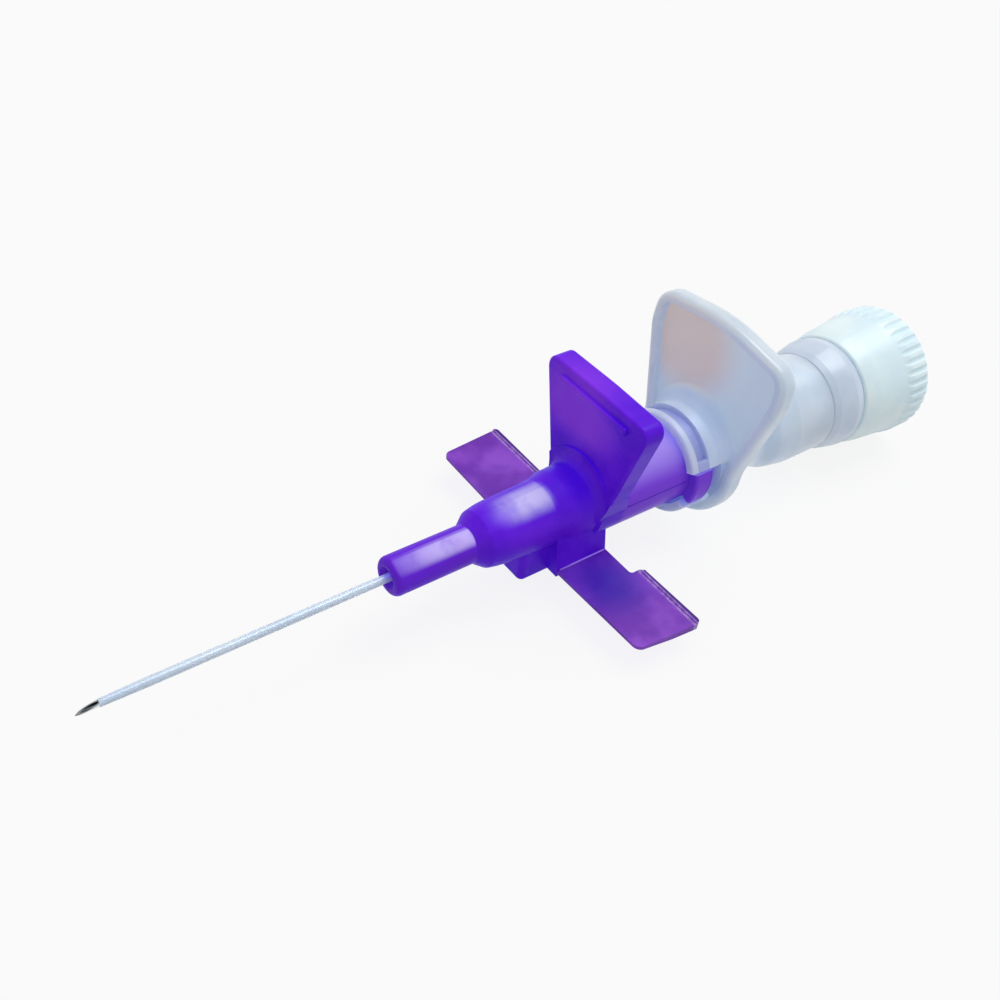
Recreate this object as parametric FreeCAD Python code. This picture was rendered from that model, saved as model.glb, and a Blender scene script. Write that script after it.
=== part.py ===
import FreeCAD, Part
import math
import os

# Winged over-the-needle cannula for small veins, 0.6 mm tube, 19 mm of it exposed.
# Millimetres. The needle axis is X, the tip points to -X, Z is up.
# The origin is the centre of the cannula hub's socket mouth.

V = FreeCAD.Vector
AXIS = V(1, 0, 0)
ORIGIN = V(0, 0, 0)

# Fits, all radial unless the name says otherwise.
NEEDLE_RUN = 0.02
BOND_GAP = 0.01
LUER_GAP = 0.03
COLLAR_GAP = 0.20
CAP_GAP = 0.05
HINGE_GAP = 0.02
SLOT_SIDE_DEG = 4.0

# Thumb plate that stands on the barrel. Its front face places the front half of the hub.
PUSH_X0 = -9.95
PUSH_THICK = 1.80
PUSH_TOP_Z = 9.20
PUSH_CROWN = 0.12
PUSH_TOP_HALF = 5.02
PUSH_TOP_DRAFT = 0.15
PUSH_LOW_HALF = 2.90
PUSH_SHOULDER = 0.90
PUSH_SHOULDER_ROUND = 1.20
PUSH_ROUND = 0.75
PUSH_CROWN_ROUND = 30.0
PUSH_EDGE = 0.25
PUSH_DISH_R = 34.0
PUSH_DISH = 0.22
PUSH_FILLET = 0.80
PUSH_FILLET_SINK = 0.05
PUSH_FILLET_REST = 0.40
RIDGE_HALF = 3.40
RIDGE_DROP = 0.70
RIDGE_HIGH = 0.55
RIDGE_PROUD = 0.32
RIDGE_CORNER = 0.20
RIDGE_EDGE = 0.15

# Cannula hub, turned outside. Each length runs on towards the point from the one before.
MOUTH_R = 3.05
MOUTH_ROUND = 0.20
BARREL_R = 2.95
FRONT_R = 2.72
FRONT_FLARE = 0.30
RING_REACH = 2.15
RING_R1 = 2.64
RING_LENGTH = 1.20
RING_R0 = 2.40
RING_ROOT_BLEND = 0.5
RING_BLEND = 1.6
TAPER_LENGTH = 4.30
THROAT_R = 2.24
THROAT_BLEND = 7.0
STEP_LENGTH = 0.90
STEP_R = 2.05
STEP_ROUND = 0.30
SHOULDER_LENGTH = 0.90
SHOULDER_ROUND = 0.20
NOSE_R = 1.39
NOSE_LENGTH = 6.20
NOSE_ROUND = 0.45
NOSE_SINK_R = 0.80
NOSE_SINK_DEPTH = 0.55
RING_X1 = PUSH_X0 - RING_REACH
RING_X0 = RING_X1 - RING_LENGTH
THROAT_X = RING_X0 - TAPER_LENGTH
STEP_X = THROAT_X - STEP_LENGTH
NOSE_ROOT_X = STEP_X - SHOULDER_LENGTH
NOSE_X = NOSE_ROOT_X - NOSE_LENGTH

# Needle: thin steel tube with a ground point, bare for a short way past the tube.
NEEDLE_R = 0.20
NEEDLE_BORE_R = 0.12
NEEDLE_BARE = 1.40
NEEDLE_END_X = 4.0
BEVEL_DEG = 13.0
LANCET_DEG = 24.0
LANCET_ROLL_DEG = 38.0
LANCET_SHARE = 0.45
LANCET_LIFT = 0.02
GRIND_SIZE = 6.0

# Cannula tube, thinned at the tip and flared over the ferrule.
TUBE_R = 0.30
TUBE_BORE_R = NEEDLE_R + NEEDLE_RUN
TUBE_EXPOSED = 19.0
TUBE_TAPER = 3.0
TUBE_LIP = 0.035
TUBE_TIP_X = NOSE_X - TUBE_EXPOSED
NEEDLE_TIP_X = TUBE_TIP_X - NEEDLE_BARE

# Ferrule that holds the tube's flare in the nose.
FERRULE_R = 0.94
FERRULE_BORE_R = 0.27
FERRULE_SINK = 0.20
FERRULE_LENGTH = 3.10
FERRULE_GRIP = 0.90
FERRULE_FUNNEL = 1.40
FERRULE_MOUTH_R = 0.80
FERRULE_ROUND = 0.10
FLARE_LENGTH = 1.40
FLARE_R = 0.79
FLARE_WALL = 0.09
FERRULE_END_X = THROAT_X - FERRULE_SINK
FERRULE_FRONT_X = FERRULE_END_X - FERRULE_LENGTH
FERRULE_THROAT_X = FERRULE_END_X - FERRULE_FUNNEL
FLARE_X1 = FERRULE_FRONT_X + FERRULE_GRIP
FLARE_X0 = FLARE_X1 - FLARE_LENGTH

# Socket with the six per cent cone that such fittings share, and the funnel behind it.
SOCKET_R = 2.15
SOCKET_DEPTH = 8.0
CONE = 0.03
SOCKET_CHAMFER = 0.15
FUNNEL_STEP = 0.70
FUNNEL_R = 1.55
FUNNEL_ROUND = 0.50

# Lugs at the mouth.
LUG_R = 3.88
LUG_SETBACK = 0.15
LUG_WIDE = 1.70
LUG_ROOT = 0.40
LUG_EDGE = 0.25
LUG_TOP_DEG = 18.0
LUG_LOW_DEG = -24.0
LUG_X1 = -LUG_SETBACK
LUG_X0 = LUG_X1 - LUG_WIDE

# Block under the barrel that carries the wings, and the foot ahead of it.
BASE_Z = -3.68
BASE_HALF = 2.93
BASE_X0 = -13.35
BASE_LENGTH = 4.40
BASE_TOP_HALF = 2.20
BASE_TOP_Z = 0.30
BASE_X1 = BASE_X0 + BASE_LENGTH
FOOT_LENGTH = 2.25
FOOT_HALF = 1.75
FOOT_DROP = 0.48
FOOT_ROUND = 0.45
FOOT_EDGE = 0.30
FOOT_TOP_Z = -1.20
FOOT_BITE = 0.50
FOOT_Z = BASE_Z - FOOT_DROP

# Wings, left is -Y when the needle points forward. They thin out towards the leading edge.
WING_THICK = 0.53
WING_LEAD_THICK = 0.24
WING_BEVEL = 3.20
WING_LEAD_SETBACK = 0.03
WING_LEAD_SWEEP = 0.22
WING_NECK_SETBACK = 0.02
WING_STEP = 1.01
WING_TRAIL_SWEEP = 0.12
WING_STEP_Y = 5.75
WING_TIP_Y = 11.72
WING_TIP_SKEW = 0.46
WING_LEAD_ROUND = 0.60
WING_TRAIL_ROUND = 0.32
WING_STEP_ROUND = 0.35
WING_NECK_ROUND = 0.25
WING_RIM_WIDE = 0.28
WING_RIM_HIGH = 0.12
DIMPLE_R = 0.28
DIMPLE_DEPTH = 0.12
DIMPLE_PITCH = 1.25
DIMPLE_LEAD = 1.40
DIMPLE_ROOT = 1.20
DIMPLE_ROWS = 3
DIMPLE_COUNT = 6
WING_TOP_Z = BASE_Z + WING_THICK
WING_ROOT_Y = BASE_HALF + HINGE_GAP
WING_TIP_LEAD_Y = WING_TIP_Y - WING_TIP_SKEW
WING_LEAD_ROOT_X = BASE_X0 + WING_LEAD_SETBACK
WING_LEAD_TIP_X = WING_LEAD_ROOT_X + WING_LEAD_SWEEP
WING_NECK_X = BASE_X1 + WING_NECK_SETBACK
WING_TRAIL_X = WING_NECK_X + WING_STEP
WING_TRAIL_TIP_X = WING_TRAIL_X + WING_TRAIL_SWEEP

# Finger plate of the clear needle hub. It leans back over the thumb plate.
GRIP_X0 = 1.20
GRIP_THICK = 1.50
GRIP_LEAN_DEG = 3.4
GRIP_DISH = 0.55
GRIP_DISH_ROUND = 0.30
GRIP_RIM = 0.75
GRIP_LOW_R = 4.80
GRIP_WAIST_Z = 0.90
GRIP_WAIST_ROUND = 3.0
GRIP_HALF = 6.50
GRIP_WIDE_Z = 7.70
GRIP_WIDE_ROUND = 4.0
GRIP_SHOULDER_HALF = 6.35
GRIP_SHOULDER = 2.75
GRIP_CORNER = 1.80
GRIP_CROWN = 0.97
GRIP_CROWN_R = 15.0
GRIP_EDGE = 0.40
GRIP_SHOULDER_Z = GRIP_WIDE_Z + GRIP_SHOULDER
GRIP_TOP_Z = GRIP_SHOULDER_Z + GRIP_CROWN
GRIP_BACK_X = GRIP_X0 + GRIP_THICK

# Collar of two shells round the hub's mouth, a slot each side, and a web behind the mouth.
WEB_GAP = 0.60
WEB_ROUND = 0.30
COLLAR_REACH = 2.30
COLLAR_WALL = 0.67
COLLAR_DRAFT = 0.14
FLANGE_DRAFT = 0.17
COLLAR_LIP_ROUND = 0.20
COLLAR_ROOT_ROUND = 1.60
SLOT_END_X = 0.50
SWEEP_R = 1.70
SWEEP_SINK = 0.12
SWEEP_LAP = 0.05
SWEEP_REST = 0.10
SWEEP_DEPTH = 0.26
SWEEP_OVER = 0.17
SWEEP_TRIM_FRONT = 2.20
SWEEP_TRIM_LENGTH = 3.30
WINDOW_LIP = 0.55
WINDOW_LENGTH = 1.00
WINDOW_EDGE_DEG = 11.0
WINDOW_WALL = 0.34
COLLAR_BORE_R = MOUTH_R + COLLAR_GAP
COLLAR_R = COLLAR_BORE_R + COLLAR_WALL
COLLAR_ROOT_R = COLLAR_R + COLLAR_DRAFT
FLANGE_R = COLLAR_R - FLANGE_DRAFT
SLOT_TOP_DEG = LUG_TOP_DEG + SLOT_SIDE_DEG
SLOT_LOW_DEG = LUG_LOW_DEG - SLOT_SIDE_DEG
WINDOW_X0 = -COLLAR_REACH + WINDOW_LIP
WINDOW_X1 = WINDOW_X0 + WINDOW_LENGTH

# Male cone in front of the web, with the needle bonded in its front part.
MALE_REACH = 7.0
MALE_ROUND = 0.20
BOND_LENGTH = 3.80
PASSAGE_R = 0.70
PASSAGE_TAPER = 0.60

# Neck, waist and flash chamber. Each length runs on back from the one before.
NECK_REACH = 1.30
NECK_R = 3.08
NECK_DRAFT = 0.10
NECK_ROUND = 2.0
NECK_LENGTH = 2.00
NECK_END_ROUND = 1.5
WAIST_LENGTH = 1.20
WAIST_R = 3.64
WAIST_ROUND = 1.2
CHAMBER_RISE = 1.90
CHAMBER_R = 3.93
CHAMBER_ROUND = 1.5
CHAMBER_LENGTH = 3.80
CHAMBER_EDGE = 0.12
CHAMBER_WALL = 0.81
CHAMBER_SETBACK = 0.50
CHAMBER_TAPER = 0.60
CHAMBER_FLOOR_ROUND = 0.30
CHAMBER_BORE_R = CHAMBER_R - CHAMBER_WALL
NECK_X0 = GRIP_BACK_X + NECK_REACH
NECK_X1 = NECK_X0 + NECK_LENGTH
WAIST_X = NECK_X1 + WAIST_LENGTH
CHAMBER_X0 = WAIST_X + CHAMBER_RISE
CHAMBER_X1 = CHAMBER_X0 + CHAMBER_LENGTH
CHAMBER_FLOOR_X = CHAMBER_X0 + CHAMBER_SETBACK

# Vent plug in the chamber, its tail, and the filter disc behind its ledge.
SPIGOT_LENGTH = 2.50
SPIGOT_ROUND = 0.20
SEAT_WALL = 0.91
LEDGE_SETBACK = 0.30
FILTER_THICK = 0.60
PLUG_SHOULDER = 0.60
PLUG_SHOULDER_RISE = 0.23
PLUG_SHOULDER_ROUND = 0.40
PLUG_LENGTH = 3.00
PLUG_BAND = 0.80
PLUG_R = 4.48
PLUG_ROUND = 0.80
PLUG_EDGE = 0.20
PLUG_DRAFT = 0.10
TAIL_R = 2.30
TAIL_LENGTH = 4.30
TAIL_ROUND = 0.20
TAIL_BORE_R = 1.20
SPIGOT_R = CHAMBER_BORE_R - BOND_GAP
PLUG_SEAT_R = SPIGOT_R - SEAT_WALL
PLUG_X0 = CHAMBER_X1 - SPIGOT_LENGTH
PLUG_LEDGE_X = CHAMBER_X1 + LEDGE_SETBACK
PLUG_SHOULDER_X = CHAMBER_X1 + PLUG_SHOULDER
PLUG_END_X = CHAMBER_X1 + PLUG_LENGTH
TAIL_END_X = PLUG_END_X + TAIL_LENGTH

# Cap on the tail, with a ribbed rim.
CAP_FLOOR_GAP = 0.40
CAP_TOP = 1.80
CAP_FRONT_R = 4.50
CAP_FRONT_ROUND = 0.25
CAP_BELLY = 1.35
CAP_BELLY_R = 4.78
CAP_BELLY_ROUND = 2.5
CAP_RIM_BACK = 2.70
CAP_RIM_R = 5.05
CAP_BAND = 2.00
CAP_R = 5.24
CAP_BAND_ROUND = 0.80
CAP_END_ROUND = 0.50
CAP_DISH_R = 3.90
CAP_DISH_TAPER = 0.30
CAP_DISH = 0.60
CAP_HUB_WALL = 0.70
CAP_SKIN_R = 3.85
CAP_POCKET_STOP = 0.30
RIBS = 38
RIB_CUT_R = 0.30
RIB_CUT_LEAD = 0.15
RIB_CUT_SINK = 0.24
CAP_X0 = PLUG_END_X + CAP_GAP
CAP_MOUTH_R = TAIL_R + CAP_GAP
CAP_HUB_R = CAP_MOUTH_R + CAP_HUB_WALL
CAP_FLOOR_X = TAIL_END_X + CAP_FLOOR_GAP
CAP_POCKET_X = CAP_FLOOR_X - CAP_POCKET_STOP
CAP_END_X = CAP_FLOOR_X + CAP_TOP + CAP_DISH
CAP_BELLY_X = CAP_X0 + CAP_BELLY
CAP_RIM_X = CAP_END_X - CAP_RIM_BACK
CAP_FLARE_X = CAP_END_X - CAP_BAND
RIB_CUT_X = CAP_RIM_X - RIB_CUT_LEAD


def rounded_face(corners, place):
    """Flat face from (a, b, radius) corners; place turns (a, b) into a point."""
    count = len(corners)
    starts = []
    ends = []
    arcs = []
    for i, (a, b, radius) in enumerate(corners):
        before = corners[i - 1]
        after = corners[(i + 1) % count]
        here = V(a, b, 0)
        if radius <= 0:
            starts.append(here)
            ends.append(here)
            arcs.append(None)
            continue
        u = (V(before[0], before[1], 0) - here).normalize()
        w = (V(after[0], after[1], 0) - here).normalize()
        half = math.acos(max(-1.0, min(1.0, u.dot(w)))) / 2
        bisect = (u + w).normalize()
        centre = here + bisect * (radius / math.sin(half))
        starts.append(here + u * (radius / math.tan(half)))
        ends.append(here + w * (radius / math.tan(half)))
        arcs.append(centre - bisect * radius)
    edges = []
    for i in range(count):
        if arcs[i] is not None:
            points = [place(p.x, p.y) for p in (starts[i], arcs[i], ends[i])]
            edges.append(Part.Arc(*points).toShape())
        p = ends[i]
        q = starts[(i + 1) % count]
        if (q - p).Length > 1e-6:
            edges.append(Part.makeLine(place(p.x, p.y), place(q.x, q.y)))
    return Part.Face(Part.Wire(edges))


def turned(corners):
    """Solid of revolution about X from (x, r, radius) corners."""
    face = rounded_face(corners, lambda a, b: V(a, 0, b))
    return face.revolve(ORIGIN, AXIS, 360)


def sector(x0, x1, r0, r1, deg0, deg1):
    """Part of a ring about X. Angles rise from +Y towards +Z."""
    face = rounded_face([(x0, r0, 0), (x1, r0, 0), (x1, r1, 0), (x0, r1, 0)],
                        lambda a, b: V(a, b, 0))
    solid = face.revolve(ORIGIN, AXIS, deg1 - deg0)
    return solid.rotate(ORIGIN, AXIS, deg0)


def box(x0, x1, y0, y1, z0, z1):
    return Part.makeBox(x1 - x0, y1 - y0, z1 - z0, V(x0, y0, z0))


def both_sides(shape):
    """The shape and its twin across the middle plane."""
    return [shape, shape.mirror(ORIGIN, V(0, 1, 0))]


def edges_on_plane(shape, x):
    """Edges that lie wholly in the plane at this x."""
    return [e for e in shape.Edges
            if abs(e.BoundBox.XMin - x) < 1e-4 and abs(e.BoundBox.XMax - x) < 1e-4]


def make_needle():
    length = NEEDLE_END_X - NEEDLE_TIP_X
    tube = Part.makeCylinder(NEEDLE_R, length, V(NEEDLE_TIP_X, 0, 0), AXIS)
    bore = Part.makeCylinder(NEEDLE_BORE_R, length, V(NEEDLE_TIP_X, 0, 0), AXIS)
    tube = tube.cut(bore)
    # The first grind faces up and leaves the point at the underside.
    heel = V(NEEDLE_TIP_X, 0, -NEEDLE_R)
    size = GRIND_SIZE
    corner = V(-size / 2, -size / 2, 0)
    grind = Part.makeBox(size, size, size, corner)
    grind.rotate(ORIGIN, V(0, 1, 0), -BEVEL_DEG)
    grind.translate(heel)
    tube = tube.cut(grind)
    # Two side grinds sharpen the front part of the bevel.
    bevel_len = 2 * NEEDLE_R / math.tan(math.radians(BEVEL_DEG))
    for side in (-1, 1):
        lance = Part.makeBox(size, size, size, corner)
        lance.rotate(ORIGIN, V(0, 1, 0), -LANCET_DEG)
        lance.rotate(ORIGIN, AXIS, side * LANCET_ROLL_DEG)
        lance.translate(heel + V(0, 0, LANCET_LIFT))
        front = box(NEEDLE_TIP_X - size, NEEDLE_TIP_X + bevel_len * LANCET_SHARE,
                    -size, size, -size, size)
        tube = tube.cut(lance.common(front))
    return tube


def make_tube():
    taper_x = TUBE_TIP_X + TUBE_TAPER
    lip_r = TUBE_BORE_R + TUBE_LIP
    return turned([
        (TUBE_TIP_X, TUBE_BORE_R, 0),
        (TUBE_TIP_X, lip_r, 0),
        (taper_x, TUBE_R, 0),
        (FLARE_X0, TUBE_R, 0),
        (FLARE_X1, FLARE_R, 0),
        (FLARE_X1, FLARE_R - FLARE_WALL, 0),
        (FLARE_X0, TUBE_BORE_R, 0),
    ])


def flare_inside(x):
    """Inner radius of the flared tube end at this x."""
    share = (x - FLARE_X0) / (FLARE_X1 - FLARE_X0)
    return TUBE_BORE_R + share * (FLARE_R - FLARE_WALL - TUBE_BORE_R)


def make_ferrule():
    return turned([
        (FERRULE_FRONT_X, FERRULE_BORE_R, 0),
        (FERRULE_FRONT_X, flare_inside(FERRULE_FRONT_X) - BOND_GAP, 0),
        (FLARE_X1, flare_inside(FLARE_X1) - BOND_GAP, 0),
        (FLARE_X1 + BOND_GAP, FERRULE_R, 0),
        (FERRULE_END_X, FERRULE_R, FERRULE_ROUND),
        (FERRULE_END_X, FERRULE_MOUTH_R, 0),
        (FERRULE_THROAT_X, FERRULE_BORE_R, 0),
    ])


def push_plate():
    """Thumb plate with a slightly hollow face and a ridge under its top edge."""
    top_half = PUSH_TOP_HALF - PUSH_TOP_DRAFT
    wide_z = PUSH_TOP_Z - PUSH_SHOULDER
    outline = rounded_face([
        (-PUSH_LOW_HALF, 0, 0),
        (-PUSH_TOP_HALF, wide_z, PUSH_SHOULDER_ROUND),
        (-top_half, PUSH_TOP_Z, PUSH_ROUND),
        (0, PUSH_TOP_Z + PUSH_CROWN, PUSH_CROWN_ROUND),
        (top_half, PUSH_TOP_Z, PUSH_ROUND),
        (PUSH_TOP_HALF, wide_z, PUSH_SHOULDER_ROUND),
        (PUSH_LOW_HALF, 0, 0),
    ], lambda a, b: V(PUSH_X0, a, b))
    back_x = PUSH_X0 + PUSH_THICK
    plate = outline.extrude(V(PUSH_THICK, 0, 0))
    rims = [e for x in (PUSH_X0, back_x)
            for e in edges_on_plane(plate, x)
            if e.BoundBox.ZMax > BARREL_R]
    plate = plate.makeFillet(PUSH_EDGE, rims)
    dish_x = PUSH_X0 - PUSH_DISH_R + PUSH_DISH
    dish = Part.makeSphere(PUSH_DISH_R, V(dish_x, 0, PUSH_TOP_Z / 2))
    plate = plate.cut(dish)
    # The ridge starts inside the plate and stands proud of its front face.
    start_x = PUSH_X0 + PUSH_THICK / 2
    ridge_z = PUSH_TOP_Z - RIDGE_DROP
    ridge = rounded_face([
        (-RIDGE_HALF, ridge_z - RIDGE_HIGH, RIDGE_CORNER),
        (-RIDGE_HALF, ridge_z, RIDGE_CORNER),
        (RIDGE_HALF, ridge_z, RIDGE_CORNER),
        (RIDGE_HALF, ridge_z - RIDGE_HIGH, RIDGE_CORNER),
    ], lambda a, b: V(start_x, a, b))
    front_x = PUSH_X0 - RIDGE_PROUD
    ridge = ridge.extrude(V(front_x - start_x, 0, 0))
    ridge = ridge.makeFillet(RIDGE_EDGE, edges_on_plane(ridge, front_x))
    # Hollow fillets where the plate grows out of the barrel, kept within its outline.
    reach = outline.extrude(V(PUSH_THICK + 2 * PUSH_FILLET, 0, 0))
    reach.translate(V(-PUSH_FILLET, 0, 0))
    root_r = BARREL_R + PUSH_FILLET
    front_r = FRONT_R - PUSH_FILLET_SINK
    skin_r = BARREL_R - PUSH_FILLET_SINK
    run = PUSH_FILLET + PUSH_FILLET_REST
    swell = turned([
        (PUSH_X0 - run, SOCKET_R, 0),
        (PUSH_X0 - run, front_r, 0),
        (PUSH_X0, front_r, PUSH_FILLET),
        (PUSH_X0, root_r, 0),
        (back_x, root_r, 0),
        (back_x, skin_r, PUSH_FILLET),
        (back_x + run, skin_r, 0),
        (back_x + run, SOCKET_R, 0),
    ]).common(reach)
    return plate.fuse([ridge, swell])


def hub_base():
    """Block under the barrel that carries the wings, with a narrow foot ahead of it."""
    # The sides stand upright beside the wings and lean in above them, up to the barrel.
    block = rounded_face([
        (-BASE_HALF, BASE_Z, 0),
        (-BASE_HALF, WING_TOP_Z, 0),
        (-BASE_TOP_HALF, BASE_TOP_Z, 0),
        (BASE_TOP_HALF, BASE_TOP_Z, 0),
        (BASE_HALF, WING_TOP_Z, 0),
        (BASE_HALF, BASE_Z, 0),
    ], lambda a, b: V(BASE_X0, a, b)).extrude(V(BASE_LENGTH, 0, 0))
    foot_x = BASE_X0 - FOOT_LENGTH
    end_x = BASE_X0 + FOOT_BITE
    foot = rounded_face([
        (end_x, -FOOT_HALF, 0),
        (foot_x, -FOOT_HALF, FOOT_ROUND),
        (foot_x, FOOT_HALF, FOOT_ROUND),
        (end_x, FOOT_HALF, 0),
    ], lambda a, b: V(a, b, FOOT_Z))
    foot = foot.extrude(V(0, 0, FOOT_TOP_Z - FOOT_Z))
    low = [e for e in foot.Edges if e.BoundBox.ZMax < FOOT_Z + 1e-4]
    front = [e for e in low if e.BoundBox.XMax < BASE_X0]
    foot = foot.makeFillet(FOOT_EDGE, front)
    return block.fuse(foot)


def lugs():
    """Two locking lugs at the mouth, one each side."""
    lug = sector(LUG_X0, LUG_X1, MOUTH_R - LUG_ROOT, LUG_R, LUG_LOW_DEG, LUG_TOP_DEG)
    outer = [e for e in lug.Edges
             if e.Curve.TypeId == "Part::GeomCircle" and e.Curve.Radius > MOUTH_R]
    return both_sides(lug.makeFillet(LUG_EDGE, outer))


def socket_r(x):
    return SOCKET_R + CONE * x


def make_hub():
    hole_r = TUBE_R + BOND_GAP
    seat_r = FERRULE_R + BOND_GAP
    body = turned([
        (NOSE_X, 0, 0),
        (NOSE_X, NOSE_R, NOSE_ROUND),
        (NOSE_ROOT_X, NOSE_R, SHOULDER_ROUND),
        (STEP_X, STEP_R, STEP_ROUND),
        (THROAT_X, THROAT_R, THROAT_BLEND),
        (RING_X0, RING_R0, RING_ROOT_BLEND),
        (RING_X1, RING_R1, RING_BLEND),
        (PUSH_X0 - FRONT_FLARE, FRONT_R, 0),
        (PUSH_X0, BARREL_R, 0),
        (0, MOUTH_R, MOUTH_ROUND),
        (0, 0, 0),
    ])
    body = body.fuse([hub_base(), push_plate()] + lugs())
    inside = turned([
        (NOSE_X, 0, 0),
        (NOSE_X, NOSE_SINK_R, 0),
        (NOSE_X + NOSE_SINK_DEPTH, hole_r, 0),
        (FLARE_X0, hole_r, 0),
        (FLARE_X1, FLARE_R + BOND_GAP, 0),
        (FLARE_X1, seat_r, 0),
        (THROAT_X, seat_r, 0),
        (-SOCKET_DEPTH - FUNNEL_STEP, FUNNEL_R, FUNNEL_ROUND),
        (-SOCKET_DEPTH, socket_r(-SOCKET_DEPTH), 0),
        (-SOCKET_CHAMFER, socket_r(-SOCKET_CHAMFER), 0),
        (0, SOCKET_R + SOCKET_CHAMFER, 0),
        (SOCKET_CHAMFER, SOCKET_R + SOCKET_CHAMFER, 0),
        (SOCKET_CHAMFER, 0, 0),
    ])
    return body.cut(inside).removeSplitter()


def wing_outline(z):
    """Outline of the left wing at height z."""
    return rounded_face([
        (WING_LEAD_ROOT_X, -WING_ROOT_Y, 0),
        (WING_LEAD_TIP_X, -WING_TIP_LEAD_Y, WING_LEAD_ROUND),
        (WING_TRAIL_TIP_X, -WING_TIP_Y, WING_TRAIL_ROUND),
        (WING_TRAIL_X, -WING_STEP_Y, WING_STEP_ROUND),
        (WING_NECK_X, -WING_STEP_Y, WING_NECK_ROUND),
        (WING_NECK_X, -WING_ROOT_Y, 0),
    ], lambda a, b: V(a, b, z))


def wing_low(x):
    """Height of the wing's underside, which rises towards the thin leading edge."""
    share = min(1.0, (x - WING_LEAD_ROOT_X) / WING_BEVEL)
    return WING_TOP_Z - WING_LEAD_THICK - share * (WING_THICK - WING_LEAD_THICK)


def make_wing_left():
    flat = wing_outline(BASE_Z).extrude(V(0, 0, WING_THICK))
    # The underside rises towards the leading edge.
    ahead_x = WING_LEAD_ROOT_X - WING_BEVEL
    bevel_x = WING_LEAD_ROOT_X + WING_BEVEL
    under = rounded_face([
        (ahead_x, BASE_Z, 0),
        (bevel_x, BASE_Z, 0),
        (ahead_x, wing_low(ahead_x), 0),
    ], lambda a, b: V(a, 0, b)).extrude(V(0, -2 * WING_TIP_Y, 0))
    flat = flat.cut(under)
    # A low rim runs along the trailing edge from the step to the tip.
    raised = wing_outline(WING_TOP_Z).extrude(V(0, 0, WING_RIM_HIGH))
    step_y = WING_STEP_Y + WING_RIM_WIDE
    keep = rounded_face([
        (WING_TRAIL_X - WING_RIM_WIDE, -step_y, 0),
        (WING_TRAIL_TIP_X - WING_RIM_WIDE, -2 * WING_TIP_Y, 0),
        (WING_TRAIL_TIP_X + WING_RIM_WIDE, -2 * WING_TIP_Y, 0),
        (WING_TRAIL_X + WING_RIM_WIDE, -step_y, 0),
    ], lambda a, b: V(a, b, WING_TOP_Z - WING_RIM_HIGH))
    rim = raised.common(keep.extrude(V(0, 0, 3 * WING_RIM_HIGH)))
    wing = flat.fuse(rim).removeSplitter()
    # Grip dimples under the wing, in rows.
    dimples = []
    for i in range(DIMPLE_ROWS):
        for j in range(DIMPLE_COUNT):
            x = WING_LEAD_ROOT_X + DIMPLE_LEAD + i * DIMPLE_PITCH
            y = -WING_ROOT_Y - DIMPLE_ROOT - j * DIMPLE_PITCH
            centre = V(x, y, wing_low(x) - DIMPLE_R + DIMPLE_DEPTH)
            dimples.append(Part.makeSphere(DIMPLE_R, centre))
    return wing.cut(dimples)


def grip_outline():
    half = [
        (GRIP_LOW_R, -GRIP_LOW_R, GRIP_LOW_R),
        (GRIP_LOW_R, GRIP_WAIST_Z, GRIP_WAIST_ROUND),
        (GRIP_HALF, GRIP_WIDE_Z, GRIP_WIDE_ROUND),
        (GRIP_SHOULDER_HALF, GRIP_SHOULDER_Z, GRIP_CORNER),
    ]
    twin = [(-y, z, radius) for y, z, radius in reversed(half)]
    corners = half + [(0, GRIP_TOP_Z, GRIP_CROWN_R)] + twin
    return rounded_face(corners, lambda a, b: V(GRIP_X0, a, b))


def lean_back(shape):
    """Tip the finger plate about its top edge, so its foot comes forward."""
    return shape.rotate(V(GRIP_X0, 0, GRIP_TOP_Z), V(0, 1, 0), GRIP_LEAN_DEG)


def grip_plate():
    """Finger plate with a rolled rim round a hollow front face."""
    outline = grip_outline()
    plate = outline.extrude(V(GRIP_THICK, 0, 0))
    rims = edges_on_plane(plate, GRIP_X0) + edges_on_plane(plate, GRIP_BACK_X)
    plate = plate.makeFillet(GRIP_EDGE, rims)
    inner = outline.makeOffset2D(-GRIP_RIM)
    hollow = inner.extrude(V(GRIP_DISH, 0, 0))
    floor = edges_on_plane(hollow, GRIP_X0 + GRIP_DISH)
    hollow = hollow.makeFillet(GRIP_DISH_ROUND, floor)
    return lean_back(plate.cut(hollow))


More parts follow.
